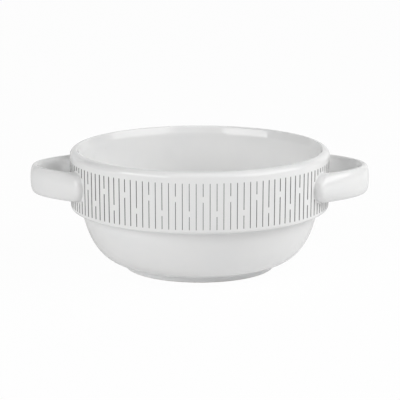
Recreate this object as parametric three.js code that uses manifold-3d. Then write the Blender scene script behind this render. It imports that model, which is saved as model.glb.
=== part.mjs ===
// Handled stacking bowl: a pressed bowl, two cast strap handles and the slip layers that join them.
// Millimetres, +Z up, origin at the centre of the foot ring's underside, handles along X, front towards -Y.

import * as THREE from 'three';
import { mergeVertices } from 'three/addons/utils/BufferGeometryUtils.js';
import Module from 'manifold-3d';

// Rim and band
const rimDiameter = 122;
const bowlHeight = 56.6;
const bandHeight = 27.9;
const bandTaper = 0.25;
const wallThickness = 4.8;
const rimRoundWidth = 3.1;
const rimRoundHeight = 2.85;
const lipDepth = 3.8;
const lipLean = THREE.MathUtils.degToRad(20);
const lipEdge = 1;
const bandEdgeRadius = 1.4;

// Stacking ledge under the band and the lower bowl that nests in the rim of the bowl below
const ledgeWidth = 5.15;
const neckFillet = 0.8;
const neckLean = THREE.MathUtils.degToRad(9.9);
const neckPull = 12.1;
const bellyLean = THREE.MathUtils.degToRad(2.1);
const bellyPull = 11.35;
const insideShoulderHeight = 5.8;
const insideShoulderPull = 2.9;

// Foot ring and base
const footDiameter = 71;
const footHeight = 3.2;
const footTaper = 0.8;
const footRingWidth = 3.6;
const footEdgeRadius = 0.9;
const footFillet = 1.7;
const footRecess = 2.2;
const footRecessLean = 0.5;
const baseThickness = 5.2;

// Strap handles
const handleProjection = 18.7;
const handleHeight = 13.5;
const handleAboveLedge = 13.6;
const strapThickness = 4.5;
const fingerWidth = 31.6;
const rightHeelSpread = 62.6;
const rightHeelRadius = 3.7;
const leftHeelSpread = 58.6;
const leftHeelRadius = 3.1;
const heelUndercut = THREE.MathUtils.degToRad(12);
const armSlope = THREE.MathUtils.degToRad(44);
const armPull = 13;
const nosePull = 11.6;
const noseSquareness = 2.5;
const heelSquareness = 2.1;

// Slip joints between the band and the handle ends
const slipThickness = 0.6;
const slipBead = 0.5;
const joinClearance = 0.3;

// Fineness of the round surfaces: steps round the axis, along a curve and round a strap
const turnSteps = 72;
const edgeSteps = 3;
const bandEdgeSteps = 4;
const rimSteps = 6;
const lipSteps = 3;
const shoulderSteps = 7;
const bellySteps = 10;
const armSteps = 18;
const armCrowding = 1.5;
const strapSides = 20;

// How far a handle blank runs into the wall and how many of its steps make a joint, before trimming
const buriedDepth = 4;
const stubSteps = 4;
const weldDistance = 1e-4;

const rimRadius = rimDiameter / 2;
const ledgeZ = bowlHeight - bandHeight;
const bandFootRadius = rimRadius - bandTaper;
const neckRadius = bandFootRadius - ledgeWidth;
const footRadius = footDiameter / 2;
const handleZ = ledgeZ + handleAboveLedge;
const rightHeel = { spread: rightHeelSpread, radius: rightHeelRadius };
const leftHeel = { spread: leftHeelSpread, radius: leftHeelRadius };

const wasm = await Module();
wasm.setup();

// A closed index mesh of positions only, without the triangles that collapse at a pole
function weld(geometry) {
  const bare = geometry.clone();
  bare.deleteAttribute('normal');
  bare.deleteAttribute('uv');
  const merged = mergeVertices(bare, weldDistance);
  const kept = [];
  for (let i = 0; i < merged.index.count; i += 3) {
    const [a, b, c] = [0, 1, 2].map((k) => merged.index.getX(i + k));
    if (a !== b && b !== c && c !== a) kept.push(a, b, c);
  }
  merged.setIndex(kept);
  merged.computeVertexNormals();
  return merged;
}

function toSolid(geometry) {
  const welded = weld(geometry);
  const mesh = new wasm.Mesh({
    numProp: 3,
    vertProperties: welded.attributes.position.array,
    triVerts: new Uint32Array(welded.index.array),
  });
  return new wasm.Manifold(mesh);
}

function toGeometry(solid) {
  const mesh = solid.getMesh();
  const geometry = new THREE.BufferGeometry();
  geometry.setAttribute('position', new THREE.BufferAttribute(mesh.vertProperties, 3));
  geometry.setIndex(new THREE.BufferAttribute(mesh.triVerts, 1));
  geometry.computeVertexNormals();
  return geometry;
}

// Turns a profile of radius and height about the bowl's axis
function turn(profile) {
  const geometry = new THREE.LatheGeometry(profile, turnSteps);
  geometry.rotateX(Math.PI / 2);
  return weld(geometry);
}

const at = (radius, height) => new THREE.Vector2(radius, height);

// Stretch of an ellipse about a centre, between two angles in degrees
function round(centre, width, height, from, to, steps) {
  const start = THREE.MathUtils.degToRad(from);
  const end = THREE.MathUtils.degToRad(to);
  return new THREE.EllipseCurve(centre.x, centre.y, width, height, start, end, end < start).getPoints(steps);
}

// Outside of the lower bowl, from the neck under the ledge to the top of the foot ring
function bellyCurve() {
  const neck = at(neckRadius, ledgeZ - neckFillet);
  const foot = at(footRadius + footTaper, footHeight);
  const down = at(-Math.sin(neckLean), -Math.cos(neckLean));
  const out = at(Math.cos(bellyLean), Math.sin(bellyLean));
  return new THREE.CubicBezierCurve(
    neck,
    neck.clone().addScaledVector(down, neckPull),
    foot.clone().addScaledVector(out, bellyPull),
    foot,
  );
}

// Underside: flat recess under the base, foot ring with a rounded standing edge
function footProfile() {
  const outer = footRadius;
  const inner = footRadius - footRingWidth;
  const r = footEdgeRadius;
  return [
    at(0, footRecess),
    at(inner - footRecessLean, footRecess),
    ...round(at(inner + r, r), r, r, 180, 270, edgeSteps),
    ...round(at(outer - r, r), r, r, 270, 360, edgeSteps),
  ];
}

// Outside of the band with its rounded lower edge, and the rolled rim over to its crest
function bandProfile() {
  const edge = at(bandFootRadius - bandEdgeRadius, ledgeZ + bandEdgeRadius);
  const rim = at(rimRadius - rimRoundWidth, bowlHeight - rimRoundHeight);
  const fillet = at(neckRadius + neckFillet, ledgeZ - neckFillet);
  return [
    ...round(fillet, neckFillet, neckFillet, 180, 90, edgeSteps).slice(1),
    ...round(edge, bandEdgeRadius, bandEdgeRadius, 270, 360, bandEdgeSteps),
    ...round(rim, rimRoundWidth, rimRoundHeight, 0, 90, rimSteps),
  ];
}

// A corner rounded between two points
function soften(start, corner, end, steps) {
  return new THREE.QuadraticBezierCurve(start, corner, end).getPoints(steps);
}

// Inside: leaning lip, straight wall, a shoulder that follows the ledge, and the bowl at an even wall
function insideProfile() {
  const belly = bellyCurve();
  const wall = [];
  for (let i = 0; i <= bellySteps; i += 1) {
    const t = i / bellySteps;
    const along = belly.getTangent(t);
    wall.push(belly.getPoint(t).addScaledVector(at(along.y, -along.x), wallThickness));
  }
  const innerRadius = rimRadius - wallThickness;
  const crest = at(rimRadius - rimRoundWidth, bowlHeight);
  const lipFoot = at(innerRadius, bowlHeight - lipDepth);
  const lipTop = at(innerRadius + lipDepth * Math.tan(lipLean), bowlHeight);
  const slope = at(Math.sin(lipLean), Math.cos(lipLean)).multiplyScalar(lipEdge);
  const top = at(innerRadius, wall[0].y + insideShoulderHeight);
  const shoulder = new THREE.CubicBezierCurve(
    top,
    at(innerRadius, top.y - insideShoulderPull),
    wall[0].clone().addScaledVector(belly.getTangent(0), -insideShoulderPull),
    wall[0],
  );
  return [
    ...soften(crest, lipTop, lipTop.clone().sub(slope), lipSteps).slice(1),
    ...soften(lipFoot.clone().add(slope), lipFoot, at(innerRadius, lipFoot.y - lipEdge), lipSteps),
    ...shoulder.getPoints(shoulderSteps),
    ...wall.slice(1),
    at(0, footRecess + baseThickness),
  ];
}

// The belly runs into the foot ring's side over a soft fillet
function outsideProfile() {
  const corner = at(footRadius + footTaper, footHeight);
  const side = at(footRadius + footTaper / 2, (footHeight + footEdgeRadius) / 2);
  const belly = bellyCurve().getPoints(bellySteps).reverse().filter((point) => point.x > corner.x + footFillet);
  return [...soften(side, corner, belly[0], edgeSteps), ...belly.slice(1)];
}

function bowlBody() {
  return turn([...footProfile(), ...outsideProfile(), ...bandProfile(), ...insideProfile()]);
}

// The band's outside, grown by an offset, as a solid drum that trims the handle ends
function bandDrum(offset) {
  const low = ledgeZ;
  const high = bowlHeight;
  return toSolid(turn([
    at(0, low),
    at(bandFootRadius + offset, low),
    at(rimRadius + offset, high),
    at(0, high),
  ]));
}

// Half plan of a handle from nose to root: the outside runs straight to a rounded heel that draws in at the band
function outsideLine({ spread, radius }) {
  const heelY = spread / 2;
  const heelX = Math.sqrt(bandFootRadius ** 2 - heelY ** 2);
  const heelAngle = Math.atan2(heelY, heelX) + heelUndercut;
  const centre = at(heelX + radius * Math.sin(heelAngle), heelY - radius * Math.cos(heelAngle));
  const arm = at(Math.cos(armSlope), -Math.sin(armSlope));
  const armEnd = at(
    centre.x + radius * Math.sin(armSlope),
    centre.y + radius * Math.cos(armSlope),
  );
  const reach = rimRadius + handleProjection;
  const line = new THREE.CurvePath();
  line.add(new THREE.CubicBezierCurve(
    at(reach, 0),
    at(reach, nosePull),
    armEnd.clone().addScaledVector(arm, armPull),
    armEnd,
  ));
  line.add(new THREE.EllipseCurve(
    centre.x, centre.y, radius, radius, Math.PI / 2 - armSlope, Math.PI / 2 + heelAngle, false,
  ));
  return line;
}

// Half plan of the finger opening: a quarter ellipse from under the nose to the band
function insideLine() {
  const halfWidth = fingerWidth / 2;
  const bandX = Math.sqrt(bandFootRadius ** 2 - halfWidth ** 2);
  const depth = rimRadius + handleProjection - strapThickness - bandX;
  return new THREE.EllipseCurve(bandX, 0, depth, halfWidth, 0, Math.PI / 2, false);
}

// Section of the strap between its inside and outside lines: a rounded upright oval
function strapSection(inside, outside, squareness, bead, side) {
  const centre = inside.clone().add(outside).divideScalar(2);
  const half = outside.clone().sub(inside).divideScalar(2);
  half.setLength(half.length() + bead);
  const halfHeight = handleHeight / 2 + bead;
  const ring = [];
  for (let i = 0; i < strapSides; i += 1) {
    const angle = (i / strapSides) * 2 * Math.PI;
    const across = Math.sign(Math.cos(angle)) * Math.abs(Math.cos(angle)) ** (2 / squareness);
    const up = Math.sign(Math.sin(angle)) * Math.abs(Math.sin(angle)) ** (2 / squareness);
    const plan = centre.clone().addScaledVector(half, across);
    ring.push(new THREE.Vector3(plan.x, side * plan.y, handleZ + halfHeight * up));
  }
  return ring;
}

// Sections of one half of a handle, from a step near the nose to an end buried in the wall
function halfHandle(heel, side, firstStep, bead) {
  const outside = outsideLine(heel);
  const inside = insideLine();
  const rings = [];
  for (let i = firstStep; i <= armSteps; i += 1) {
    const t = 1 - (1 - i / armSteps) ** armCrowding;
    const squareness = THREE.MathUtils.lerp(noseSquareness, heelSquareness, t);
    rings.push(strapSection(inside.getPoint(t), outside.getPoint(t), squareness, bead, side));
  }
  const sunk = (point) => point.clone().setLength(point.length() - buriedDepth);
  const ends = [sunk(inside.getPoint(1)), sunk(outside.getPoint(1))];
  rings.push(strapSection(...ends, heelSquareness, bead, side));
  return rings;
}

// Skin through a row of sections, with a fan of triangles closing each end
function loft(rings) {
  const sides = rings[0].length;
  const points = rings.flat();
  const index = [];
  for (let r = 0; r < rings.length - 1; r += 1) {
    for (let s = 0; s < sides; s += 1) {
      const a = r * sides + s;
      const b = r * sides + ((s + 1) % sides);
      index.push(a, a + sides, b, b, a + sides, b + sides);
    }
  }
  const close = (ring, first, flip) => {
    const middle = ring.reduce((sum, p) => sum.add(p), new THREE.Vector3()).divideScalar(sides);
    points.push(middle);
    for (let s = 0; s < sides; s += 1) {
      const edge = [first + s, first + ((s + 1) % sides)];
      if (flip) edge.reverse();
      index.push(points.length - 1, ...edge);
    }
  };
  close(rings[0], 0, false);
  close(rings.at(-1), (rings.length - 1) * sides, true);
  const geometry = new THREE.BufferGeometry().setFromPoints(points);
  geometry.setIndex(index);
  return geometry;
}

const front = -1;
const back = 1;

// One strap loop from the front root round the nose to the back root, trimmed to stand off the band
function handle(heel) {
  const frontHalf = halfHandle(heel, front, 0, 0).reverse();
  const backHalf = halfHandle(heel, back, 1, 0);
  const blank = toSolid(loft([...frontHalf, ...backHalf]));
  return toGeometry(blank.subtract(bandDrum(slipThickness + 2 * joinClearance)));
}

// The slip layer under one handle end: a curved pad, a little wider than the end it holds
function slipJoint(heel, side) {
  const rings = halfHandle(heel, side, armSteps - stubSteps, slipBead);
  if (side === front) rings.reverse();
  const stub = toSolid(loft(rings));
  const layer = bandDrum(slipThickness + joinClearance).subtract(bandDrum(joinClearance));
  return toGeometry(stub.intersect(layer));
}

const glaze = () => new THREE.MeshStandardMaterial({ color: 0xe6e6e5, roughness: 0.16, metalness: 0 });
const slip = () => new THREE.MeshStandardMaterial({ color: 0xdcdbd8, roughness: 0.3, metalness: 0 });

function piece(name, geometry, material) {
  const mesh = new THREE.Mesh(geometry, material);
  mesh.name = name;
  return mesh;
}

// A handle with its two slip joints, named for the sides on which they lie after the turn
function handleSet(side, heel, frontName, backName, angle) {
  const set = new THREE.Group();
  set.add(piece(`${side}_handle`, handle(heel), glaze()));
  set.add(piece(`${side}_${frontName}_slip_joint`, slipJoint(heel, front), slip()));
  set.add(piece(`${side}_${backName}_slip_joint`, slipJoint(heel, back), slip()));
  set.rotation.z = angle;
  return set;
}

const bowl = new THREE.Group();
bowl.name = 'handled_stacking_bowl';
bowl.add(piece('bowl_body', bowlBody(), glaze()));
bowl.add(handleSet('right', rightHeel, 'front', 'back', 0));
bowl.add(handleSet('left', leftHeel, 'back', 'front', Math.PI));

export default bowl;
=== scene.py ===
import math

import bmesh
import bpy
from mathutils import Matrix, Vector
from mathutils.geometry import interpolate_bezier


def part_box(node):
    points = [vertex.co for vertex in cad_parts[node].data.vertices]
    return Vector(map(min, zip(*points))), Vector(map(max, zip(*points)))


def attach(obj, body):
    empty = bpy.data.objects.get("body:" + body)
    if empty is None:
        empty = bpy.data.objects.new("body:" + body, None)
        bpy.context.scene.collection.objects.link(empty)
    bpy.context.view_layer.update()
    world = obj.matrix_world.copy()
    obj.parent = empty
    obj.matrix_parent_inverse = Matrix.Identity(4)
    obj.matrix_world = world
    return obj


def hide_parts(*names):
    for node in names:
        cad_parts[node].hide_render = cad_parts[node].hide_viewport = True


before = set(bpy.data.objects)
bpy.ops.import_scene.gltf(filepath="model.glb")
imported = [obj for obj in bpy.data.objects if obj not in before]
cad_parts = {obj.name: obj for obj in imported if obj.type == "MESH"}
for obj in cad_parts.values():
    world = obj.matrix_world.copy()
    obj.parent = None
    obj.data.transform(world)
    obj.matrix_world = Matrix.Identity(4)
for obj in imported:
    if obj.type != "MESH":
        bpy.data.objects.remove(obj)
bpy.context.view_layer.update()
mm = 0.001
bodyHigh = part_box("bowl_body")[1]
strapLow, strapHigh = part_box("right_handle")
print("frame loaded:", ", ".join(sorted(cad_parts)))


# Curves and meshes shared by the pieces

sameSpot = 0.001 * mm         # points of a line that are closer than this count as one
mergeWithin = 0.0001 * mm     # and so do the corners of a mesh
ellipsePull = 0.5523          # makes a Bezier curve follow a quarter of an ellipse


def spot(radius, height):  # a point of the turning profile, in millimetres
    return Vector((radius * mm, 0, height * mm))


def roundOver(start, corner, end, steps):  # quarter of an ellipse that rounds a corner
    leave = start.lerp(corner, ellipsePull)
    arrive = end.lerp(corner, ellipsePull)
    return interpolate_bezier(start, leave, arrive, end, steps)


def joinStretches(*stretches):
    points = []
    for stretch in stretches:
        for point in stretch:
            if not points or (point - points[-1]).length > sameSpot:
                points.append(Vector(point))
    return points


def along(points, share):  # the point at a share of a line's length
    steps = [(b - a).length for a, b in zip(points, points[1:])]
    left = share * sum(steps)
    for start, end, step in zip(points, points[1:], steps):
        if left <= step:
            return start.lerp(end, left / step)
        left -= step
    return points[-1].copy()


def finishPiece(name, bm, material, slot, *nodes):
    bmesh.ops.remove_doubles(bm, verts=bm.verts, dist=mergeWithin)
    bmesh.ops.recalc_face_normals(bm, faces=bm.faces)
    mesh = bpy.data.meshes.new(name)
    bm.to_mesh(mesh)
    bm.free()
    mesh.shade_smooth()
    mesh.materials.append(material)
    piece = bpy.data.objects.new(name, mesh)
    bpy.context.scene.collection.objects.link(piece)
    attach(piece, "root")
    if nodes:
        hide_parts(*nodes)
    print("piece", name, "with", len(mesh.polygons), "faces")


def addLoop(bm, points):  # a closed ring of edges
    verts = [bm.verts.new(point) for point in points]
    return [bm.edges.new(pair) for pair in zip(verts, verts[1:] + verts[:1])]


def bridgeRow(bm, loops, closed):  # a skin over a row of rings
    pairs = list(zip(loops, loops[1:]))
    if closed:
        pairs.append((loops[-1], loops[0]))
    for first, second in pairs:
        bmesh.ops.bridge_loops(bm, edges=first + second)


def turnMesh(bm, verts, angle, axis):  # about an axis through the origin
    bmesh.ops.rotate(bm, verts=verts, cent=(0, 0, 0), matrix=Matrix.Rotation(angle, 3, axis))


# Node sockets that take part in sums

class Flow:
    def __init__(self, tree, socket=None):
        self.tree = tree
        self.socket = socket

    def node(self, kind, settings=None, values=None, output=0):
        made = self.tree.nodes.new("ShaderNode" + kind)
        for key, value in (settings or {}).items():
            setattr(made, key, value)
        for key, value in (values or {}).items():
            if isinstance(value, Flow):
                self.tree.links.new(value.socket, made.inputs[key])
            else:
                made.inputs[key].default_value = value
        return Flow(self.tree, made.outputs[output])

    def maths(self, operation, first, second):
        return self.node("Math", {"operation": operation}, {0: first, 1: second})

    def __add__(self, other):
        return self.maths("ADD", self, other)

    def __radd__(self, other):
        return self.maths("ADD", other, self)

    def __sub__(self, other):
        return self.maths("SUBTRACT", self, other)

    def __rsub__(self, other):
        return self.maths("SUBTRACT", other, self)

    def __mul__(self, other):
        return self.maths("MULTIPLY", self, other)

    def __rmul__(self, other):
        return self.maths("MULTIPLY", other, self)

    def noise(self, scale, detail):
        return self.node("TexNoise", None, {"Vector": self, "Scale": scale, "Detail": detail})

    def fade(self, low, high):  # 0 below low, 1 above high, soft between
        return self.node("MapRange", {"interpolation_type": "SMOOTHSTEP"},
                         {"Value": self, "From Min": low, "From Max": high})

    def between(self, low, high):  # from low to high as this value goes from 0 to 1
        return self * (high - low) + low

    def blend(self, first, second):  # one colour to another, by this value
        firstColour, secondColour, mixedColour = 6, 7, 2     # places of the Mix node's colour sockets
        values = {"Factor": self, firstColour: first, secondColour: second}
        return self.node("Mix", {"data_type": "RGBA"}, values, mixedColour)


def startMaterial(name):
    material = bpy.data.materials.new(name)
    material.use_nodes = True
    tree = material.node_tree
    place = Flow(tree).node("TexCoord", output="Object")
    print("material", name)
    return material, tree.nodes["Principled BSDF"], place


def feed(shader, **flows):
    for key, flow in flows.items():
        flow.tree.links.new(flow.socket, shader.inputs[key.replace("_", " ")])


# White gloss glaze over vitrified clay

glaze = {
    "white": (0.86, 0.86, 0.856, 1),
    "cool": (0.835, 0.84, 0.842, 1),            # where the glaze lies thick
    "speck": (0.52, 0.50, 0.47, 1),
    "clays": ((0.66, 0.64, 0.61, 1), (0.74, 0.72, 0.69, 1)),
    "roughness": (0.03, 0.06),
    "clayRoughness": 0.75,
    "ior": 1.5,
    "cloud": (55.0, 3.0),                       # scale and detail of each noise
    "ripple": (260.0, 1.0),
    "grain": (900.0, 2.0),
    "thickClouds": (0.42, 0.72),                # the glaze thickens from one cloud value to the other
    "thickest": 0.6,
    "ledgePool": (26.2 * mm, 28.0 * mm),        # glaze gathers under the ledge
    "ledgePoolEnd": (28.4 * mm, 28.9 * mm),
    "footPool": (3.2 * mm, 4.6 * mm),           # and above the foot ring
    "footThickness": 0.8,
    "speckScale": 150.0,
    "speckSizes": (0.018, 0.04),
    "speckClouds": (0.55, 0.6),                 # specks come only in the thicker clouds
    "speckStrength": 0.5,
    "bareHeights": (0.36 * mm, 0.45 * mm),      # the standing edge is wiped bare below these
    "bareWander": 0.25 * mm,
    "relief": {"ripple": 0.7, "cloud": 1.2, "clay": 6.0},
    "bumpStrength": 0.06,
    "bumpDepth": 0.12 * mm,
}


def makeGlaze(name, pooled):
    material, shader, place = startMaterial(name)
    height = place.node("SeparateXYZ", None, {"Vector": place}, "Z")
    cloud, grain, ripple = (place.noise(*glaze[key]) for key in ("cloud", "grain", "ripple"))
    dots = place.node("TexVoronoi", {"feature": "F1"}, {"Vector": place, "Scale": glaze["speckScale"]})
    thick = cloud.fade(*glaze["thickClouds"]) * glaze["thickest"]
    if pooled:
        ledge = height.fade(*glaze["ledgePool"])
        under = 1 - height.fade(*glaze["ledgePoolEnd"])
        foot = 1 - height.fade(*glaze["footPool"])
        thick = thick + ledge * under + foot * glaze["footThickness"]
    thick = thick.node("Clamp", None, {"Value": thick})
    colour = thick.blend(glaze["white"], glaze["cool"])
    fleck = 1 - dots.fade(*glaze["speckSizes"])
    speck = fleck * cloud.fade(*glaze["speckClouds"]) * glaze["speckStrength"]
    colour = speck.blend(colour, glaze["speck"])
    rough = cloud.between(*glaze["roughness"])
    relief = ripple * glaze["relief"]["ripple"] + cloud * glaze["relief"]["cloud"]
    if pooled:
        edge = height + (grain - 0.5) * glaze["bareWander"]
        bare = 1 - edge.fade(*glaze["bareHeights"])
        colour = bare.blend(colour, grain.blend(*glaze["clays"]))
        rough = rough + bare * (glaze["clayRoughness"] - glaze["roughness"][0])
        relief = relief + bare * grain * glaze["relief"]["clay"]
    bump = relief.node("Bump", None, {
        "Strength": glaze["bumpStrength"], "Distance": glaze["bumpDepth"], "Height": relief})
    feed(shader, Base_Color=colour, Roughness=rough, Normal=bump)
    shader.inputs["IOR"].default_value = glaze["ior"]
    return material


ink = {
    "dark": (0.07, 0.07, 0.072, 1),
    "pale": (0.12, 0.12, 0.122, 1),
    "mottle": (700.0, 3.0),                     # scale and detail of the noise
    "paleMottle": (0.35, 0.7),
    "roughness": (0.1, 0.16),
}


def makeInk(name):
    material, shader, place = startMaterial(name)
    mottle = place.noise(*ink["mottle"])
    colour = mottle.fade(*ink["paleMottle"]).blend(ink["dark"], ink["pale"])
    feed(shader, Base_Color=colour, Roughness=mottle.between(*ink["roughness"]))
    return material


bodyGlaze = makeGlaze("bodyGlaze", True)
handleGlaze = makeGlaze("handleGlaze", False)
printInk = makeInk("printInk")


# The turned bowl: foot ring, belly, stacking ledge, band, rolled rim and inside

bowl = {
    "rim": bodyHigh.x / mm,
    "height": bodyHigh.z / mm,
    "bandHeight": 27.9,
    "bandTaper": 0.25,
    "bandEdge": 1.4,
    "wall": 4.8,
    "rimRound": (3.1, 2.85),
    "lipDepth": 3.8,
    "lipLean": math.radians(20),
    "lipEdge": 1.0,              # softness of the edge between lip and wall
    "ledge": 5.15,
    "neckFillet": 0.8,
    "neckLean": math.radians(9.9),
    "neckPull": 12.1,
    "bellyLean": math.radians(2.1),
    "bellyPull": 11.35,
    "insideFall": 5.8,           # the inside steps in over this height, behind the ledge
    "insidePulls": (2.9, 2.9),
    "dishPull": 12.0,            # how flat the inside runs to the middle
    "foot": 35.5,
    "footHeight": 3.2,
    "footTaper": 0.8,
    "footWidth": 3.6,
    "footEdge": 0.9,
    "footFillet": 1.7,           # belly runs softly into the foot
    "filletStart": 0.5,          # from this share of the way down the foot
    "footRecess": 2.2,
    "recessFillet": 1.2,
    "base": 5.2,
    "turns": 240,
}
bowl["ledgeHeight"] = bowl["height"] - bowl["bandHeight"]
bowl["bandFoot"] = bowl["rim"] - bowl["bandTaper"]
bowl["neck"] = bowl["bandFoot"] - bowl["ledge"]
profileSteps = {                 # points on each round stretch of the profile
    "foot": 8,
    "footFillet": 12,
    "belly": 60,
    "neck": 6,
    "bandEdge": 10,
    "rim": 16,
    "lip": 10,
    "lipEdge": 8,
    "fall": 30,
    "wall": 30,
    "dish": 12,
}


def bandRadius(height):  # outside of the band at a height, in metres
    low = (bowl["ledgeHeight"] + bowl["bandEdge"]) * mm
    high = (bowl["height"] - bowl["rimRound"][1]) * mm
    return (bowl["bandFoot"] + bowl["bandTaper"] * (height - low) / (high - low)) * mm


def bellyStretch(steps):
    top = spot(bowl["neck"], bowl["ledgeHeight"] - bowl["neckFillet"])
    end = spot(bowl["foot"] + bowl["footTaper"], bowl["footHeight"])
    down = spot(-math.sin(bowl["neckLean"]), -math.cos(bowl["neckLean"])) * bowl["neckPull"]
    out = spot(math.cos(bowl["bellyLean"]), math.sin(bowl["bellyLean"])) * bowl["bellyPull"]
    return interpolate_bezier(top, top + down, end + out, end, steps)


def insetLine(points, depth):  # the same line, moved to its inner side
    moved = []
    for i, point in enumerate(points):
        way = points[min(i + 1, len(points) - 1)] - points[max(i - 1, 0)]
        moved.append(point + Vector((way.z, 0, -way.x)).normalized() * depth)
    return moved


def footStretch():
    outer, edge = bowl["foot"], bowl["footEdge"]
    inner, recess, soft = outer - bowl["footWidth"], bowl["footRecess"], bowl["recessFillet"]
    steps = profileSteps["foot"]
    return joinStretches(
        [spot(0, recess)],
        roundOver(spot(inner - soft, recess), spot(inner, recess), spot(inner, recess - soft), steps),
        roundOver(spot(inner, edge), spot(inner, 0), spot(inner + edge, 0), steps),
        roundOver(spot(outer - edge, 0), spot(outer, 0), spot(outer, edge), steps),
    )


def footFillet():
    top, soft = bowl["foot"] + bowl["footTaper"], bowl["footFillet"]
    corner = spot(top, bowl["footHeight"])
    wall = corner.lerp(spot(bowl["foot"], bowl["footEdge"]), bowl["filletStart"])
    upwards = reversed(bellyStretch(profileSteps["belly"]))
    belly = [point for point in upwards if point.x > (top + soft) * mm]
    return roundOver(wall, corner, belly[0], profileSteps["footFillet"]) + belly


def bandStretch():
    ledge, neck, foot = bowl["ledgeHeight"], bowl["neck"], bowl["bandFoot"]
    soft, edge = bowl["neckFillet"], bowl["bandEdge"]
    wide, tall = bowl["rimRound"]
    rim, top = bowl["rim"], bowl["height"]
    steps = profileSteps
    return joinStretches(
        roundOver(spot(neck, ledge - soft), spot(neck, ledge), spot(neck + soft, ledge), steps["neck"]),
        roundOver(spot(foot - edge, ledge), spot(foot, ledge), spot(foot, ledge + edge), steps["bandEdge"]),
        roundOver(spot(rim, top - tall), spot(rim, top), spot(rim - wide, top), steps["rim"]),
    )


def lipStretch(inner):  # from the crest of the rim down to the wall
    crest = spot(bowl["rim"] - bowl["rimRound"][0], bowl["height"])
    edge = spot(inner, bowl["height"] - bowl["lipDepth"])
    slope = spot(math.sin(bowl["lipLean"]), math.cos(bowl["lipLean"]))
    corner = edge + slope * (bowl["lipDepth"] / math.cos(bowl["lipLean"]))
    soft = bowl["lipEdge"]
    return joinStretches(
        roundOver(crest, corner, corner - slope * soft, profileSteps["lip"]),
        roundOver(edge + slope * soft, edge, edge - spot(0, soft), profileSteps["lipEdge"]),
    )


def insideStretch():
    wall = insetLine(bellyStretch(profileSteps["wall"]), bowl["wall"] * mm)
    inner = bowl["rim"] - bowl["wall"]
    upper, lower = bowl["insidePulls"]
    high = spot(inner, wall[0].z / mm + bowl["insideFall"])
    way = (wall[0] - wall[1]).normalized() * (lower * mm)
    fall = interpolate_bezier(high, high - spot(0, upper), wall[0] + way, wall[0], profileSteps["fall"])
    floor, floorEdge = spot(0, bowl["footRecess"] + bowl["base"]), wall[-1]
    pull = spot(bowl["dishPull"], 0)
    dish = interpolate_bezier(floorEdge, floorEdge - pull, floor + pull, floor, profileSteps["dish"])
    return joinStretches(lipStretch(inner), fall, wall, dish)


def makeBowl():
    points = joinStretches(footStretch(), footFillet(), bandStretch(), insideStretch())
    bm = bmesh.new()
    verts = [bm.verts.new(point) for point in points]
    edges = [bm.edges.new(pair) for pair in zip(verts, verts[1:])]
    bmesh.ops.spin(bm, geom=verts + edges, cent=(0, 0, 0), axis=(0, 0, 1),
                   angle=math.tau, steps=bowl["turns"], use_merge=True)
    finishPiece("bowlShell", bm, bodyGlaze, "glazed_body", "bowl_body")


# Strap handles: an upright oval section that runs from one heel on the band to the other

strap = {
    "reach": strapHigh.x / mm,
    "middle": (strapLow.z + strapHigh.z) / 2,
    "half": (strapHigh.z - strapLow.z) / 2,
    "thickness": 4.5,
    "fingerWidth": 31.6,
    "heels": {"right": (62.6, 3.7), "left": (58.6, 3.1)},    # spread over both heels, and roundness
    "heelUnder": math.radians(12),                           # the heels draw in a little at the band
    "armSlope": math.radians(44),
    "armPull": 13.0,
    "nosePull": 11.6,
    "squareness": (2.5, 2.1),    # at the nose and at the heel
    "buried": 2.5 * mm,
    "buriedShare": 2.0,          # where a buried end stops: 0 is the nose and 1 the band
    "stations": 44,
    "crowding": 1.4,             # draws the stations towards the heels
    "sides": 56,
    "armSteps": 80,
    "heelSteps": 24,
    "insideSteps": 60,
}


def planSpot(x, y):  # a point in the plan of a strap, in millimetres
    return Vector((x * mm, y * mm, 0))


def outsideLine(spread, radius):
    y = spread / 2
    x = math.sqrt(bowl["bandFoot"] ** 2 - y ** 2)
    turn, slope = math.atan2(y, x) + strap["heelUnder"], strap["armSlope"]
    centre = planSpot(x + radius * math.sin(turn), y - radius * math.cos(turn))
    armEnd = centre + planSpot(math.sin(slope), math.cos(slope)) * radius
    arm = planSpot(math.cos(slope), -math.sin(slope)) * strap["armPull"]
    nose = planSpot(strap["reach"], 0)
    leave = nose + planSpot(0, strap["nosePull"])
    line = interpolate_bezier(nose, leave, armEnd + arm, armEnd, strap["armSteps"])
    heel = []
    for i in range(strap["heelSteps"] + 1):
        angle = math.pi / 2 - slope + (turn + slope) * i / strap["heelSteps"]
        heel.append(centre + planSpot(math.cos(angle), math.sin(angle)) * radius)
    return joinStretches(line, heel)


def insideLine():
    half = strap["fingerWidth"] / 2
    x = math.sqrt(bowl["bandFoot"] ** 2 - half ** 2)
    tip = strap["reach"] - strap["thickness"]
    return roundOver(planSpot(tip, 0), planSpot(tip, half), planSpot(x, half), strap["insideSteps"])


strapLines = {side: (insideLine(), outsideLine(*heel)) for side, heel in strap["heels"].items()}


def signedPower(value, power):
    return math.copysign(abs(value) ** power, value)


def strapSpot(side, share, angle):  # on the skin: 0 at the nose, 1 at the band, more inside the wall
    inner, outer = (along(line, min(share, 1)) for line in strapLines[side])
    if share > 1:
        depth = (share - 1) * strap["buried"]
        inner -= inner.normalized() * depth
        outer -= outer.normalized() * depth
    nose, heel = strap["squareness"]
    power = 2 / (nose + (heel - nose) * min(share, 1))
    place = (inner + outer) / 2 + (outer - inner) / 2 * signedPower(math.cos(angle), power)
    place.z = strap["middle"] + strap["half"] * signedPower(math.sin(angle), power)
    return place


def addStrapLoop(bm, points, way):  # way 1 keeps the half at +y, and -1 mirrors it
    return addLoop(bm, [Vector((p.x, way * p.y, p.z)) for p in points])


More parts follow.
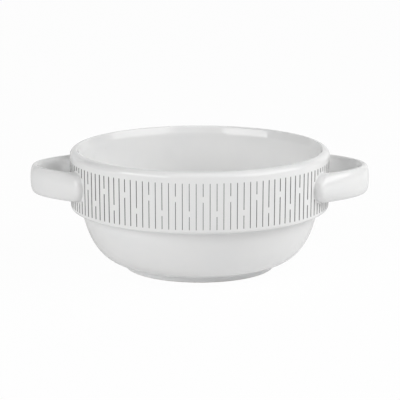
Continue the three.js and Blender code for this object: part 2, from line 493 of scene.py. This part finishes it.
def makeHandle(side, turn):
    stations, sides = strap["stations"], strap["sides"]
    shares = [1 - (1 - i / stations) ** strap["crowding"] for i in range(stations + 1)]
    shares.append(strap["buriedShare"])
    bm = bmesh.new()
    loops = []
    stops = [(-1, share) for share in reversed(shares[1:])] + [(1, share) for share in shares]
    for way, share in stops:
        ring = [strapSpot(side, share, math.tau * i / sides) for i in range(sides)]
        loops.append(addStrapLoop(bm, ring, way))
    bridgeRow(bm, loops, False)
    bmesh.ops.holes_fill(bm, edges=loops[0] + loops[-1], sides=0)
    turnMesh(bm, bm.verts, turn, "Z")
    finishPiece(side + "Strap", bm, handleGlaze, "glazed_handles", side + "_handle")


# Slip fillets: the sponged bead of slip that runs round each heel on the band

fillet = {
    "width": 0.35 * mm,
    "sink": 0.12 * mm,
    "rings": 96,
    "steps": 7,
    "searchFrom": 0.5,           # share of the strap where the search for the band starts
    "halvings": 40,
    "lookBack": 0.01,            # share of the strap over which its direction is taken
}


def heelCrossing(side, angle):  # where a line along the strap meets the band, as a share of the strap
    low, high = fillet["searchFrom"], strap["buriedShare"]
    for _ in range(fillet["halvings"]):
        share = (low + high) / 2
        place = strapSpot(side, share, angle)
        if Vector((place.x, place.y)).length > bandRadius(place.z):
            low = share
        else:
            high = share
    return low


def filletRing(side, before, crossing, after, angle, centre):
    place = strapSpot(side, crossing, angle)
    normal = Vector((place.x, place.y, 0)).normalized()
    out = (after - before).cross(normal).normalized()
    if out.dot(place - centre) < 0:
        out = -out
    rise = (strapSpot(side, crossing - fillet["lookBack"], angle) - place).normalized()
    skin = (out - rise * out.dot(rise)).normalized()
    width, sink = fillet["width"], fillet["sink"]
    onBand = place + out * width
    onStrap = place + rise * width
    curve = roundOver(onBand, place, onStrap, fillet["steps"])
    return curve + [onStrap - skin * sink, place - skin * sink - normal * sink, onBand - normal * sink]


def makeFillet(side, end, way, turn):
    count = fillet["rings"]
    angles = [math.tau * i / count for i in range(count)]
    crossings = [heelCrossing(side, angle) for angle in angles]
    outline = [strapSpot(side, *pair) for pair in zip(crossings, angles)]
    centre = sum(outline, Vector()) / count
    bm = bmesh.new()
    loops = []
    for i in range(count):
        after = outline[(i + 1) % count]
        ring = filletRing(side, outline[i - 1], crossings[i], after, angles[i], centre)
        loops.append(addStrapLoop(bm, ring, way))
    bridgeRow(bm, loops, True)
    turnMesh(bm, bm.verts, turn, "Z")
    name = f"{side}{end.title()}Fillet"
    finishPiece(name, bm, handleGlaze, "slip_joints", f"{side}_{end}_slip_joint")


# Printed border: plain upright rules, every second one broken, kept clear of the handles

rules = {
    "count": 124,
    "start": 0.5,                                   # the first stands this share of a gap from the X axis
    "low": 30.7 * mm,
    "high": 51.8 * mm,
    "breaks": (None, 44.6 * mm, None, 38.0 * mm),   # middle of the break in each rule of a repeat
    "break": 2.6 * mm,
    "widths": (0.26 * mm, 0.8 * mm),                # in front, and bolder by the handles
    "depth": 0.12 * mm,
    "proud": 0.015 * mm,
    "margin": 0.8 * mm,
    "shortest": 0.7 * mm,
    "rounding": 0.4,                                # of the ends, as a share of the thin width
    "roundSteps": 3,
    "depthMatch": 0.2,                              # edges this near to the depth are rounded
}


def heelGap(angle):  # heights that a heel keeps free of print at an angle, or none
    spread, _ = strap["heels"]["right" if math.cos(angle) > 0 else "left"]
    inner = math.asin(strap["fingerWidth"] / 2 / bowl["bandFoot"])
    outer = math.asin(spread / 2 / bowl["bandFoot"])
    fromX = math.asin(abs(math.sin(angle)))
    half = (outer - inner) / 2 * bowl["bandFoot"] * mm + rules["margin"]
    offset = abs(fromX - (inner + outer) / 2) * bowl["bandFoot"] * mm / half
    if offset >= 1:
        return None
    power = strap["squareness"][1]
    tall = (strap["half"] + rules["margin"]) * (1 - offset ** power) ** (1 / power)
    return strap["middle"] - tall, strap["middle"] + tall


def addRule(bm, angle, low, high):
    made = bmesh.ops.create_cube(bm, size=1)["verts"]
    middle = (low + high) / 2
    lean = math.atan2(bandRadius(high) - bandRadius(low), high - low)
    radius = bandRadius(middle) + rules["proud"] - rules["depth"] / 2
    thin, bold = rules["widths"]
    width = thin + (bold - thin) * math.cos(angle) ** 2
    bmesh.ops.scale(bm, verts=made, vec=(rules["depth"], width, high - low))
    turnMesh(bm, made, lean, "Y")
    bmesh.ops.translate(bm, verts=made, vec=(radius, 0, middle))
    turnMesh(bm, made, angle, "Z")


def cutSpans(spans, low, high):  # what is left of some heights outside a gap
    left = []
    for start, end in spans:
        left += [(start, min(end, low)), (max(start, high), end)]
    return [(start, end) for start, end in left if end - start > rules["shortest"]]


def makeRules():
    bm = bmesh.new()
    for i in range(rules["count"]):
        angle = math.tau * (i + rules["start"]) / rules["count"]
        spans = [(rules["low"], rules["high"])]
        middle = rules["breaks"][i % len(rules["breaks"])]
        if middle:
            spans = cutSpans(spans, middle - rules["break"] / 2, middle + rules["break"] / 2)
        gap = heelGap(angle)
        if gap:
            spans = cutSpans(spans, *gap)
        for start, end in spans:
            addRule(bm, angle, start, end)
    depth = rules["depth"]
    ends = [edge for edge in bm.edges if abs(edge.calc_length() - depth) < rules["depthMatch"] * depth]
    bmesh.ops.bevel(bm, geom=ends, offset=rules["widths"][0] * rules["rounding"], offset_type="OFFSET",
                    segments=rules["roundSteps"], profile=0.5, affect="EDGES", material=-1)
    finishPiece("printedRules", bm, printInk, "glazed_body")


makeBowl()
for side, turn in (("right", 0.0), ("left", math.pi)):
    makeHandle(side, turn)
    ends = ("front", "back") if side == "right" else ("back", "front")
    for end, way in zip(ends, (-1, 1)):
        makeFillet(side, end, way, turn)
makeRules()


# Camera, floor and light

view = {
    "elevation": math.radians(12.257),
    "distance": 0.96046,
    "aim": Vector((0.00014, 0, 0.03129)),
    "lens": 182.9,
    "sensor": 36.0,
    "clip": (0.01, 50.0),
}


def makeCamera():
    data = bpy.data.cameras.new("photoCamera")
    data.lens = view["lens"]
    data.sensor_width = view["sensor"]
    data.clip_start, data.clip_end = view["clip"]
    camera = bpy.data.objects.new("photoCamera", data)
    away = Vector((0, -math.cos(view["elevation"]), math.sin(view["elevation"])))
    camera.location = view["aim"] + away * view["distance"]
    camera.rotation_euler = (math.pi / 2 - view["elevation"], 0, 0)
    bpy.context.scene.collection.objects.link(camera)
    bpy.context.scene.camera = camera


stage = {
    "white": (1, 1, 1, 1),
    "floorSize": 6.0,
    "floorDrop": 0.05 * mm,      # keeps it clear of the standing edge
    "floorColour": (0.8, 0.8, 0.8, 1),
    "floorGlow": 0.26,           # a light table
    "floorWhite": 0.97,
    "floorGloss": 0.1,
    "worldLight": 0.03,
    "worldGloss": 0.12,
    "lampAim": Vector((0, 0, 0.03)),
}


def seenBy(tree):  # 1 for a ray from the camera or through a clear body, and 1 for a reflected one
    names = ("Is Camera Ray", "Is Transmission Ray", "Is Glossy Ray")
    camera, through, glossy = (Flow(tree).node("LightPath", output=name) for name in names)
    return camera.maths("MAXIMUM", camera, through), glossy


def makeFloor():
    bm = bmesh.new()
    low = Matrix.Translation((0, 0, -stage["floorDrop"]))
    bmesh.ops.create_grid(bm, x_segments=2, y_segments=2, size=stage["floorSize"], matrix=low)
    mesh = bpy.data.meshes.new("studioFloor")
    bm.to_mesh(mesh)
    bm.free()
    material = bpy.data.materials.new("studioFloor")
    material.use_nodes = True
    tree = material.node_tree
    tree.nodes.remove(tree.nodes["Principled BSDF"])
    direct, glossy = seenBy(tree)
    glow = stage["floorGlow"]
    seen = direct * (stage["floorWhite"] - glow) + glossy * stage["floorGloss"] + glow
    matte = seen.node("BsdfDiffuse", None, {"Color": stage["floorColour"]})
    white = seen.node("Emission", None, {"Color": stage["white"]})
    mixed = seen.node("MixShader", None, {0: seen, 1: matte, 2: white})
    feed(tree.nodes["Material Output"], Surface=mixed)
    mesh.materials.append(material)
    floor = bpy.data.objects.new("studioFloor", mesh)
    bpy.context.scene.collection.objects.link(floor)


def makeWorld():
    world = bpy.data.worlds.new("studioWorld")
    bpy.context.scene.world = world
    world.use_nodes = True
    tree = world.node_tree
    direct, glossy = seenBy(tree)
    low, gloss = stage["worldLight"], stage["worldGloss"]
    level = direct * (1 - low) + glossy * (gloss - low) + low
    sky = tree.nodes["Background"]
    sky.inputs["Color"].default_value = stage["white"]
    feed(sky, Strength=level)


lamps = {                        # turn from the front and rise in degrees, and whether reflections show it
    "keyRight": {
        "turn": 67, "rise": 33, "distance": 1.0,
        "size": (1.1, 0.62), "watts": 4.45, "glint": True,
    },
    "keySoft": {
        "turn": 88, "rise": 40, "distance": 1.0,
        "size": (0.8, 0.6), "watts": 3.8, "glint": False,
    },
    "fillLeft": {
        "turn": -50, "rise": 24, "distance": 1.0,
        "size": (0.8, 0.5), "watts": 5.05, "glint": True,
    },
    "topSoft": {
        "turn": 0, "rise": 68, "distance": 1.2,
        "size": (0.8, 0.6), "watts": 2.1, "glint": True,
    },
    "backSoft": {
        "turn": 180, "rise": 12, "distance": 1.5,
        "size": (3.0, 1.2), "watts": 8.0, "glint": True,
    },
}


def makeLamp(name, lamp):
    data = bpy.data.lights.new(name, "AREA")
    data.shape = "RECTANGLE"
    data.size, data.size_y = lamp["size"]
    data.energy = lamp["watts"]
    light = bpy.data.objects.new(name, data)
    turn, rise = math.radians(lamp["turn"]), math.radians(lamp["rise"])
    level = math.cos(rise)
    way = Vector((math.sin(turn) * level, -math.cos(turn) * level, math.sin(rise)))
    light.location = way * lamp["distance"]
    light.visible_camera = False
    light.visible_glossy = lamp["glint"]
    aim = stage["lampAim"] - light.location
    light.rotation_euler = aim.to_track_quat("-Z", "Y").to_euler()
    bpy.context.scene.collection.objects.link(light)


makeCamera()
makeFloor()
makeWorld()
for name, lamp in lamps.items():
    makeLamp(name, lamp)
bpy.context.scene.view_settings.view_transform = "Standard"
print("stage with floor, world and", len(lamps), "lamps")
